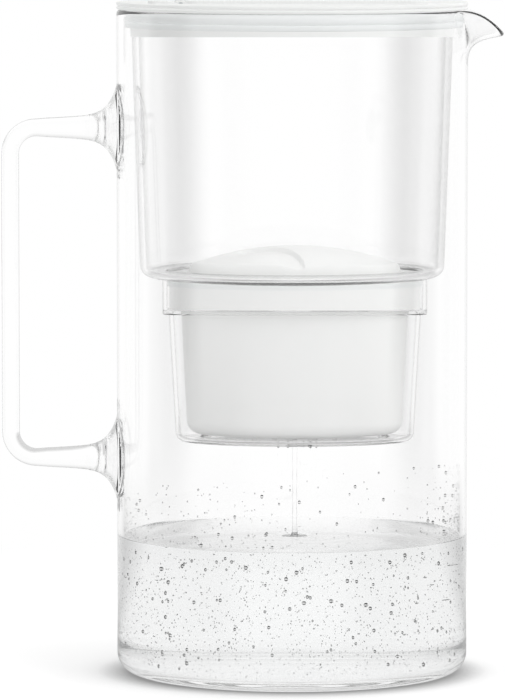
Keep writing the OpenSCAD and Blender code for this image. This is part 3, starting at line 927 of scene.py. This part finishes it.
@dataclass
class FilterBasket:
    """The clear oval tub under the hopper, with its collar, its step and two rests."""

    oval: CartridgeOval
    top_z: float = 158.7
    step_z: float = 143.2
    rise: float = 2.3
    base_z: float = 92.6
    wall: float = 1.6
    collar_grow: float = 7.5
    tub_grow: float = 5.0
    draft: float = 2.7
    round_r: float = 3.6
    outlet_r: float = 2.0
    outlet_edge: float = 0.3
    land_r: float = 14.0
    soft: float = 0.4
    fade: float = 5.0
    rest_h: float = 1.4
    rest_x: float = 35.4
    rest_low_r: float = 2.6
    rest_top_r: float = 1.2
    rest_edge: float = 0.2
    rest_sunk: float = 0.6

    def wall_line(self, grow_top: float, grow_low: float, z_top: float, z_low: float,
                  rise: float) -> list[np.ndarray]:
        """Rings down a drafted wall, whose arch fades out on the way."""
        return [self.oval.ring(grow_top + (grow_low - grow_top) * s, z_top + (z_low - z_top) * s,
                               rise * (1 - s)) for s in span(0, 1, 8)]

    def build(self) -> Piece:
        """Moulds the tub as one closed skin, with its two rests."""
        oval, soft = self.oval, self.soft
        collar_in = self.collar_grow - self.wall
        low = self.tub_grow - self.draft
        floor_z = self.base_z + self.wall
        cove = self.round_r - self.wall
        rings = [oval.ring(self.collar_grow, self.top_z)]
        rings += [oval.ring(self.collar_grow, z, self.rise * s) for z, s in
                  ((self.top_z - self.fade, 0.3), (self.step_z + self.fade, 0.7), (self.step_z + soft, 1))]
        rings += [oval.ring(self.collar_grow - soft, self.step_z, self.rise)]
        rings += self.wall_line(self.tub_grow, low, self.step_z, self.base_z + self.round_r, self.rise)
        rings += [oval.ring(low - self.round_r + x, z) for x, z in
                  arc(0, self.base_z + self.round_r, self.round_r, 0, -90, 7)[1:]]
        rings += [oval.small(r, self.base_z) for r in (self.land_r, self.outlet_r + self.outlet_edge)]
        rings += [oval.small(self.outlet_r, z) for z in (self.base_z + self.outlet_edge, floor_z)]
        rings += [oval.small(self.land_r, floor_z)]
        rings += [oval.ring(low - self.round_r + x, z) for x, z in arc(0, floor_z + cove, cove, -90, 0, 6)]
        rings += self.wall_line(self.tub_grow - self.wall, low - self.wall, self.step_z + self.wall,
                                floor_z + cove, self.rise)[-2::-1]
        rings += [oval.ring(collar_in - soft, self.step_z + self.wall, self.rise)]
        rings += [oval.ring(collar_in, z, self.rise * s) for z, s in
                  ((self.step_z + self.wall + soft, 1), (self.top_z - self.fade, 0.3), (self.top_z, 0))]
        rings += [rings[0]]
        basket = draw_rings("filter_tub", rings)
        for side in (-1, 1):
            unite(basket, self.rest(side, floor_z))
        dress(basket, Stock.CLEAR_COPOLYMER)
        let_lamps_through(basket)
        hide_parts("filter_basket")
        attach(basket, "funnel")
        return basket

    def rest(self, side: int, floor_z: float) -> Piece:
        """One of the blunt cones that the cartridge stands on."""
        foot, top = floor_z - self.rest_sunk, floor_z + self.rest_h
        profile = [(0, foot), (self.rest_low_r, foot), (self.rest_low_r, floor_z),
                   (self.rest_top_r, top - self.rest_edge), (self.rest_top_r - self.rest_edge, top),
                   (0, top)]
        rings = [round_ring(r, z, 24) for r, z in profile]
        for ring in rings:
            ring[:, 0] += self.oval.offset + side * self.rest_x
        return draw_rings("tub_rest", rings)


@dataclass
class CartridgeCap:
    """The cartridge's white cap: a dome with two curled scoops for the fingers on a flat flange.

    Attributes are lengths in millimetres, apart from the powers and shares that bend a curve.
    """

    oval: CartridgeOval
    low_z: float = 158.2
    flange_t: float = 1.6
    flange_grow: float = 4.7
    foot_grow: float = -3.0
    height: float = 11.4
    skin: float = 1.6
    crown_r: float = 112.0
    shoulder: float = 5.0
    crown_share: float = 1.03
    shoulder_power: float = 2.4
    curl_at: Span = (19.0, 24.5)
    curl_r: float = 23.0
    lobe_r: float = 14.6
    lobe_fade: float = 4.5
    scoop_edge: float = 1.0
    scoop_in: float = 9.0
    scoop_fade: float = 12.0
    rim_y: float = 33.0
    rim_fade: float = 3.0
    flange_edge: float = 0.4
    foot_edge: float = 0.2
    scoop: float = 1.7
    lobe_h: float = 0.9
    slot_pitch: float = 6.0
    slot_y: float = 24.0
    slot_rise: float = 1.9
    slot_size: tuple[float, float, float] = (2, 24, 2.2)
    slot_bevel: float = 0.5

    def height_at(self, share: float) -> float:
        """The plain dome's height over the flange at a share of the way from its crown to its foot."""
        half = self.oval.half_length + self.foot_grow
        crown = (half - self.shoulder) * self.crown_share
        r = share * half
        left = self.height - self.crown_r + math.sqrt(self.crown_r ** 2 - min(r, crown) ** 2)
        if r <= crown:
            return left
        turn = (r - crown) / (half - crown)
        return left * math.sqrt(max(0.0, 1 - turn ** self.shoulder_power))

    def curl(self, points: np.ndarray) -> np.ndarray:
        """How much the two scoops take from the dome at each point.

        Args:
            points: places in plan, relative to the oval's centre.

        Returns:
            The depths.
        """
        taken = np.zeros(len(points))
        for side in (1, -1):
            x, y = side * points[:, 0], side * points[:, 1]
            away = np.hypot(x + self.curl_at[0], y + self.curl_at[1])
            inside = np.clip((self.curl_r - away) / self.scoop_edge, 0, 1)
            rise = np.clip((self.curl_r - away) / (self.curl_r - self.lobe_r), 0, 1)
            lobe = np.clip((self.lobe_r - away) / self.lobe_fade, 0, 1)
            # the scoop runs out towards the dome's middle and at its rim
            near = np.clip((x + self.curl_at[0] + self.scoop_in) / self.scoop_fade, 0, 1)
            near = near * near * (3 - 2 * near) * np.clip((y + self.rim_y) / self.rim_fade, 0, 1)
            taken += near * (self.scoop * inside * (1 - rise ** 2) - self.lobe_h * np.sqrt(lobe))
        return taken

    def dome(self, name: str, skin: float) -> Piece:
        """A closed dome on its flat foot.

        Args:
            name: the mesh's name.
            skin: how far it lies within the cap's outside.

        Returns:
            The dome.
        """
        oval, top = self.oval, self.low_z + self.flange_t
        rings = []
        grow = self.foot_grow - skin
        for share in [0.0] + [math.sin(math.pi / 2 * i / 72) for i in range(1, 73)]:
            ring = oval_ring((oval.half_length + grow) * share, (oval.half_width + grow) * share,
                             top + self.height_at(share) - skin, ROUND)
            if not skin:
                ring[:, 2] -= self.curl(ring) * min(1.0, 1.6 * (1 - share) + 0.5)
                ring[:, 2] = np.maximum(ring[:, 2], top)
            rings.append(ring)
        if skin:
            rings.append(rings[-1] * (1, 1, 0) + (0, 0, self.low_z - 1))
        else:
            for more, z in ((-self.flange_edge, top), (0, top - self.flange_edge),
                            (0, self.low_z + self.foot_edge), (-self.foot_edge, self.low_z)):
                grow = self.flange_grow + more
                rings.append(oval_ring(oval.half_length + grow, oval.half_width + grow, z, ROUND))
        rings.append(rings[-1] * (0, 0, 1))
        for ring in rings:
            ring[:, 0] += oval.offset
        return draw_rings(name, rings, CRISP)

    def build(self) -> Piece:
        """Moulds the cap and opens its inlet slots at the back."""
        cap = self.dome("cartridge_dome", 0.0)
        unite(cap, self.dome("dome_inside", self.skin), "DIFFERENCE")
        for i in range(-3, 4):
            deselect_all()
            at = Vector((self.oval.offset + self.slot_pitch * i, self.slot_y,
                         self.low_z + self.flange_t + self.slot_rise))
            bpy.ops.mesh.primitive_cube_add(size=MM, location=at * MM, scale=self.slot_size)
            slot = bpy.context.active_object
            bpy.ops.object.transform_apply(location=True, rotation=False, scale=True)
            bpy.ops.object.mode_set(mode="EDIT")
            bpy.ops.mesh.bevel(offset=self.slot_bevel * MM, segments=3)
            bpy.ops.object.mode_set(mode="OBJECT")
            unite(cap, slot, "DIFFERENCE")
        shade(cap, CRISP)
        dress(cap, Stock.WHITE_PP)
        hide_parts("cartridge_cap")
        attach(cap, "cartridge")
        return cap


# ---- water, its bubbles and the falling stream ----


class Water(Finish):
    """What the jug holds. None of it is a piece of the pitcher."""

    # still water: a trace of grey in its depth, a painted grey outline where its surface is seen edge-on,
    # and a light shadow on what stands behind it
    BODY = ClearBody("filtered_water", WATER_IOR, 0.3, 0.9, veil=0.62, passed="#f0f1f1", absorb_mm=160.0)
    # air in water: a dark ring with a bright middle, and a painted dark top
    BUBBLE = SmallDrop("air_in_water", 1 / WATER_IOR)
    # beads on glass: small bright lenses, with their tops painted dark
    BEAD = SmallDrop("water_beads_on_glass", WATER_IOR)
    # the falling thread: two painted dark edges with a clear line between them
    THREAD = ClearBody("falling_water", WATER_IOR, 0.0, 0.5)
    # the water that the thread throws up, its skin painted grey: a painted shade ring on the pale surface
    SWELL = ClearBody("water_thrown_up", WATER_IOR, painted_tone=0.4)


@dataclass
class Contents:
    """The water in the jug, the stream that falls into it and the bubbles that it leaves."""

    jug: GlassJug
    offset: float
    level: float = 55.0
    lap: float = 0.05
    outlet_z: float = 93.0
    stream_r: float = 0.9
    dent_r: float = 5.0
    dent_depth: float = 1.4
    swell_r: float = 3.1
    swell_wide: float = 2.0
    swell_high: float = 0.6
    swell_drop: float = 0.7
    wave_high: float = 0.16
    wave_turn: float = 0.62
    wave_fade: float = 20.0
    edge_high: float = 0.5
    edge_fade: float = 0.9
    bubble_count: int = 2300
    bubble_large: Span = (0.5, 0.95)
    bubble_fine: Span = (0.13, 0.33)
    bubble_low: float = 7.5
    bubble_high: float = 2.5
    bead_count: int = 330
    bead_large: Span = (0.45, 0.8)
    bead_fine: Span = (0.16, 0.36)
    bead_rise: float = 2.0
    splash_high: float = 24.0
    drop_count: int = 26
    drop_turn: Span = (-1.9, -0.9)
    drop_away: Span = (4, 24)
    drop_size: Span = (0.3, 0.75)
    drop_low: float = 0.55

    def surface(self, r: float) -> float:
        """The height of the surface at a distance from the stream."""
        dent = -self.dent_depth * math.exp(-(r / self.dent_r) ** 2)
        wave = self.wave_high * math.cos(r * self.wave_turn) * math.exp(-r / self.wave_fade)
        edge = self.edge_high * math.exp(-(self.jug.outer_r - self.jug.wall - r) / self.edge_fade)
        return self.level + dent + wave + edge

    def water(self) -> Piece:
        """The body of water, a hair into the glass that holds it."""
        inner = self.jug.outer_r - self.jug.wall + self.lap
        heel = self.jug.outer_r - self.jug.base_round
        cove = inner - heel
        floor = self.jug.floor - self.lap
        profile = [(0.0, floor + self.jug.punt)]
        profile += [(r, floor + self.jug.punt * (1 - (r / heel) ** 2)) for r in FLOOR_RADII]
        profile += arc(heel, floor + cove, cove, -90, 0, 9)
        profile += [(inner, z) for z in (20, 32, 44, self.surface(inner))]
        rings = [round_ring(r, z) for r, z in profile]
        steps = [66.6, 66, 65, 63.5, 61] + [57 - 1.5 * i for i in range(37)] + [1, 0]
        for r in steps:
            rings.append(round_ring(r, self.surface(r)) + (self.offset * (1 - r / inner), 0, 0))
        body = draw_rings("water", rings)
        dress(body, Water.BODY)
        return body

    def stream(self) -> Piece:
        """The thread of water from the tub's outlet to the surface."""
        heights = span(self.outlet_z, self.surface(0) - 0.3, 30)
        drop = [self.outlet_z - z for z in heights]
        thread = [self.stream_r * (1 + 0.7 * math.exp(-d / 2.5) + 0.04 * math.sin(d * 0.9)) for d in drop]
        foot = [1 + 1.2 * math.exp(-(z - self.surface(0)) / 1.2) for z in heights]
        profile = [(0.0, self.outlet_z + 1.2)] + [(t * f, z) for t, f, z in zip(thread, foot, heights)]
        profile += [(0.0, heights[-1] - 0.4)]
        stream = draw_rings("stream", [round_ring(r, z, 32) + (self.offset, 0, 0) for r, z in profile])
        dress(stream, Water.THREAD)
        return stream

    def swell(self) -> Piece:
        """The ring of water that the stream throws up round its foot."""
        turns = [math.pi * i / 8 for i in range(16)]
        profile = [(self.swell_r + self.swell_wide * math.cos(t),
                    self.level - self.swell_drop + self.swell_high * math.sin(t)) for t in turns]
        rings = [round_ring(r, z, 64) + (self.offset, 0, 0) for r, z in profile]
        swell = draw_rings("swell", rings + [rings[0]])
        dress(swell, Water.SWELL)
        return swell

    def scatter(self, name: str, spots: Sequence[tuple[float, float, float, float]],
                finish: Finish) -> Piece:
        """Round drops at given places, all in one mesh.

        Args:
            name: the mesh's name.
            spots: distance from the axis, angle, height and radius of each.
            finish: what they are made of.

        Returns:
            The mesh object.
        """
        deselect_all()
        bpy.ops.mesh.primitive_uv_sphere_add(segments=8, ring_count=6, radius=MM)
        seed = bpy.context.active_object
        bpy.ops.object.shade_smooth()
        copies = []
        for r, turn, z, size in spots:
            copy = seed.copy()
            copy.data = seed.data.copy()
            copy.data.transform(Matrix.Translation(Vector((r * math.cos(turn), r * math.sin(turn), z)) * MM)
                                @ Matrix.Diagonal((size * 0.85, size * 0.85, size, 1)))
            bpy.context.collection.objects.link(copy)
            copies.append(copy)
        bpy.data.objects.remove(seed)
        deselect_all()
        for copy in copies:
            copy.select_set(True)
        bpy.context.view_layer.objects.active = copies[0]
        bpy.ops.object.join()
        joined = bpy.context.active_object
        joined.name = joined.data.name = name
        dress(joined, finish)
        return joined

    def bubbles(self) -> Piece:
        """Air bubbles, most of them on the wall under the surface."""
        pick = random.Random(7)
        inner = self.jug.outer_r - self.jug.wall
        spots = []
        for i in range(self.bubble_count):
            # most of them, and the largest, cling to the glass on the near side
            turn = pick.uniform(-math.pi, 0.0 if i % 19 == 0 or i % 3 else math.pi)
            size = pick.uniform(*(self.bubble_fine if i % 19 else self.bubble_large))
            r = inner - size - 0.05 if i % 4 else inner * math.sqrt(pick.random()) * 0.93
            spots.append((r, turn, pick.uniform(self.bubble_low, self.level - self.bubble_high), size))
        return self.scatter("bubbles", spots, Water.BUBBLE)

    def beads(self) -> Piece:
        """Splashed beads on the wall over the water and hanging drops under the tub."""
        pick = random.Random(11)
        inner = self.jug.outer_r - self.jug.wall
        spots = []
        for i in range(self.bead_count):
            # splashes lie thickest towards the spout, and in a patch at the left
            turn = (pick.gauss(0.1, 0.5), pick.gauss(-2.05, 0.3), pick.uniform(0, 2 * math.pi))[i % 3]
            up = pick.random() ** 1.6 * (self.splash_high if i % 3 < 2 else self.splash_high / 2)
            size = pick.uniform(*(self.bead_fine if i % 7 else self.bead_large))
            spots.append((inner - size * 0.55, turn, self.level + self.bead_rise + up, size))
        for _ in range(self.drop_count):
            turn = pick.uniform(*self.drop_turn)
            spots.append((pick.uniform(*self.drop_away), turn, self.outlet_z - self.drop_low,
                          pick.uniform(*self.drop_size)))
        return self.scatter("water_beads", spots, Water.BEAD)

    def build(self) -> list[Piece]:
        """Pours the contents in."""
        body = self.water()
        made = [self.stream(), self.swell(), self.bubbles(), self.beads()]
        for item in made:
            let_lamps_through(item)
        return [body] + made


# ---- CAD nodes that keep their own mesh ----

KEPT = {
    "collar_ring": Stock.MILKY_PP,
    "mouth_seal": Stock.SILICONE,
    "lid_plate": Stock.MILKY_PP,
    "flip_flap": Stock.MILKY_PP,
    "hinge_pin": Stock.STEEL,
    "cartridge_cup": Stock.WHITE_PP,
    "cartridge_gasket": Stock.SILICONE,
    "inlet_mesh": Stock.SCREEN,
    "carbon_bed": Stock.CARBON,
    "bed_separator": Stock.FLEECE,
    "resin_bed": Stock.RESIN,
    "outlet_mesh": Stock.SCREEN,
}


# ---- studio ----


@dataclass
class Studio:
    """A white sweep, soft lamps and the camera. Lengths are in metres.

    Brightness runs from 0 to 1. A turn is the share of a direction that lies along X, so it is 1 at the
    two sides of the pitcher.
    """

    camera_at: tuple[float, float, float] = (-0.015803, -2.40235, 0.332185)
    camera_tilt: float = 85.165
    focal_px: float = 6032.03
    frame_px: int = 700
    sensor_mm: float = 36.0
    floor_r: float = 6.0
    shadow_r: float = 0.22
    paper_lift: float = 0.13
    paper_through: float = 0.6
    painted_shadow_r: float = 0.019
    painted_shadow_open: Span = (0.45, 0.9)
    painted_shadow_tone: Span = (0.25, 0.93)
    side_grey: float = 0.66
    side_flag: float = 0.3
    flag_reach: Span = (0.5, 0.85)
    grey_turn: Span = (0.42, 0.66)
    flag_turn: Span = (0.93, 0.985)
    ceiling: float = 0.8
    ceiling_from: Span = (0.4, 0.8)
    ambient: Span = (0.62, 0.86)
    turns_of_light: int = 64
    mirrored_turns: int = 48

    def seen(self, tree: Tree) -> Socket:
        """A factor of 1 for what the eye, a reflection or clear glass shows, and 0 for what lights."""
        path = add_node(tree, "LightPath").outputs
        shown = maths(tree, "MAXIMUM", path["Is Camera Ray"], path["Is Glossy Ray"])
        shown = maths(tree, "MAXIMUM", shown, path["Is Transmission Ray"])
        return maths(tree, "SUBTRACT", shown, path["Diffuse Depth"], clamp=True)

    def flags(self, tree: Tree, way: Socket) -> Socket:
        """How bright glass sees the studio in a direction: it is dimmer to the two sides.

        Args:
            tree: the node tree to add to.
            way: the direction from the pitcher, or a place that lies that way.

        Returns:
            The brightness, from 0 to 1.
        """
        level = add_node(tree, "VectorMath", {0: way, 1: (1, 1, 0)}, operation="MULTIPLY")
        unit = add_node(tree, "VectorMath", {0: level.outputs[0]}, operation="NORMALIZE")
        turn = maths(tree, "ABSOLUTE", add_node(tree, "SeparateXYZ", {0: unit.outputs[0]}).outputs[0])
        far = add_node(tree, "VectorMath", {0: way}, operation="LENGTH").outputs["Value"]
        dim = carry(tree, far, self.flag_reach, (self.side_grey, 1.0))
        grey = carry(tree, turn, self.grey_turn, (1.0, dim))
        card = carry(tree, far, self.flag_reach, (1.0, self.side_flag))
        return maths(tree, "MULTIPLY", grey, carry(tree, turn, self.flag_turn, (1.0, card)))

    def world(self) -> None:
        """White to the eye and through glass, and a softer light from left to right on surfaces."""
        world = bpy.data.worlds.new("white_sweep")
        bpy.context.scene.world = world
        world.use_nodes = True
        tree = world.node_tree
        tree.nodes.clear()
        way = add_node(tree, "TexCoord").outputs["Generated"]
        axis = add_node(tree, "SeparateXYZ", {0: way}).outputs
        soft = carry(tree, axis[0], (-1.0, 1.0), self.ambient)
        over = carry(tree, axis[2], self.ceiling_from, (1.0, self.ceiling))
        glass = maths(tree, "MULTIPLY", self.flags(tree, way), over)
        bent = blend(tree, add_node(tree, "LightPath").outputs["Is Camera Ray"], glass, 1.0)
        level = blend(tree, self.seen(tree), soft, bent)
        light = add_node(tree, "Background", {"Color": WHITE, "Strength": level})
        show(tree, add_node(tree, "OutputWorld"), light)

    def floor(self) -> None:
        """A pale floor that keeps the pitcher's shadow, with a contact shadow painted into its colour round
        the foot, and meets the white behind it.
        """
        deselect_all()
        bpy.ops.mesh.primitive_circle_add(vertices=96, radius=self.floor_r, fill_type="NGON")
        floor = bpy.context.active_object
        floor.name = "floor"
        material, tree, out = new_material("sweep_paper")
        seen = self.seen(tree)
        # painted shadow: ambient occlusion darkens the floor's colour where the pitcher stands close
        contact = add_node(tree, "AmbientOcclusion", {"Distance": self.painted_shadow_r}, samples=8)
        dark = carry(tree, contact.outputs["AO"], self.painted_shadow_open, self.painted_shadow_tone)
        matt = add_node(tree, "BsdfDiffuse", {"Color": dark})
        lift = maths(tree, "MULTIPLY", seen, self.paper_lift)
        glow = add_node(tree, "Emission", {"Color": WHITE, "Strength": lift})
        near = add_node(tree, "AddShader", {0: matt.outputs[0], 1: glow.outputs[0]})
        where = object_place(tree)
        white = add_node(tree, "Emission", {"Color": WHITE, "Strength": 1.0})
        reach = add_node(tree, "VectorMath", {0: where}, operation="LENGTH").outputs["Value"]
        fade = carry(tree, reach, (self.shadow_r, self.shadow_r * 2), interpolation_type="SMOOTHSTEP")
        eye = add_node(tree, "LightPath").outputs["Is Camera Ray"]
        bent = maths(tree, "SUBTRACT", seen, eye, clamp=True)
        share = maths(tree, "MAXIMUM", fade, maths(tree, "MULTIPLY", bent, self.paper_through))
        share = maths(tree, "MULTIPLY", share, seen)
        both = add_node(tree, "MixShader", {0: share, 1: near.outputs[0], 2: white.outputs[0]})
        level = blend(tree, bent, 1.0, self.flags(tree, where))
        show(tree, out, add_node(tree, "MixShader", {0: level, 2: both.outputs[0]}))
        floor.data.materials.append(material)

    def lamp(self, name: str, at: tuple[float, float, float], size: float, power: float) -> None:
        """Adds a square soft lamp that points at the pitcher's middle.

        Args:
            name: the lamp's name.
            at: its place.
            size: its side.
            power: its power in watts.
        """
        data = bpy.data.lights.new(name, "AREA")
        data.size = size
        data.energy = power
        lamp = bpy.data.objects.new(name, data)
        lamp.location = at
        lamp.rotation_euler = (Vector((0, 0, 0.15)) - Vector(at)).to_track_quat("-Z", "Y").to_euler()
        lamp.visible_glossy = lamp.visible_transmission = False
        bpy.context.collection.objects.link(lamp)

    def camera(self) -> None:
        """The camera, fitted to the photograph's view."""
        data = bpy.data.cameras.new("camera")
        data.sensor_width = self.sensor_mm
        data.sensor_fit = "AUTO"
        data.lens = self.focal_px * self.sensor_mm / self.frame_px
        camera = bpy.data.objects.new("camera", data)
        camera.location = self.camera_at
        camera.rotation_euler = (math.radians(self.camera_tilt), 0, 0)
        bpy.context.collection.objects.link(camera)
        bpy.context.scene.camera = camera

    def build(self) -> None:
        """Sets the studio up."""
        scene = bpy.context.scene
        scene.view_settings.view_transform = "Standard"
        # light that runs along inside glass walls turns many times before it comes out
        scene.cycles.max_bounces = scene.cycles.transmission_bounces = self.turns_of_light
        scene.cycles.glossy_bounces = self.mirrored_turns
        self.world()
        self.floor()
        self.lamp("key", (1.5, -1.1, 1.2), 1.2, 14.0)
        self.lamp("fill", (-1.6, -0.9, 1.0), 1.4, 5.0)
        self.lamp("top", (0.1, 0.3, 1.8), 1.2, 6.0)
        self.camera()


def main() -> None:
    """Builds the pitcher's looks over the CAD model, piece by piece."""
    logging.basicConfig(level=logging.INFO, format="%(message)s")
    oval = CartridgeOval()
    jug = GlassJug()
    for part in (jug, Hopper(oval), FilterBasket(oval), CartridgeCap(oval)):
        piece = part.build()
        LOG.info("%s: %d vertices", piece.name, len(piece.data.vertices))
    for name, stock in KEPT.items():
        dress(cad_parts[name], stock)
        if stock in (Stock.MILKY_PP, Stock.SILICONE):
            let_lamps_through(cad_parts[name])
        LOG.info("%s: %s", name, stock.value.name)
    for item in Contents(jug, oval.offset).build():
        LOG.info("%s: %d vertices, staged", item.name, len(item.data.vertices))
    Studio().build()


if __name__ == "__main__":
    main()
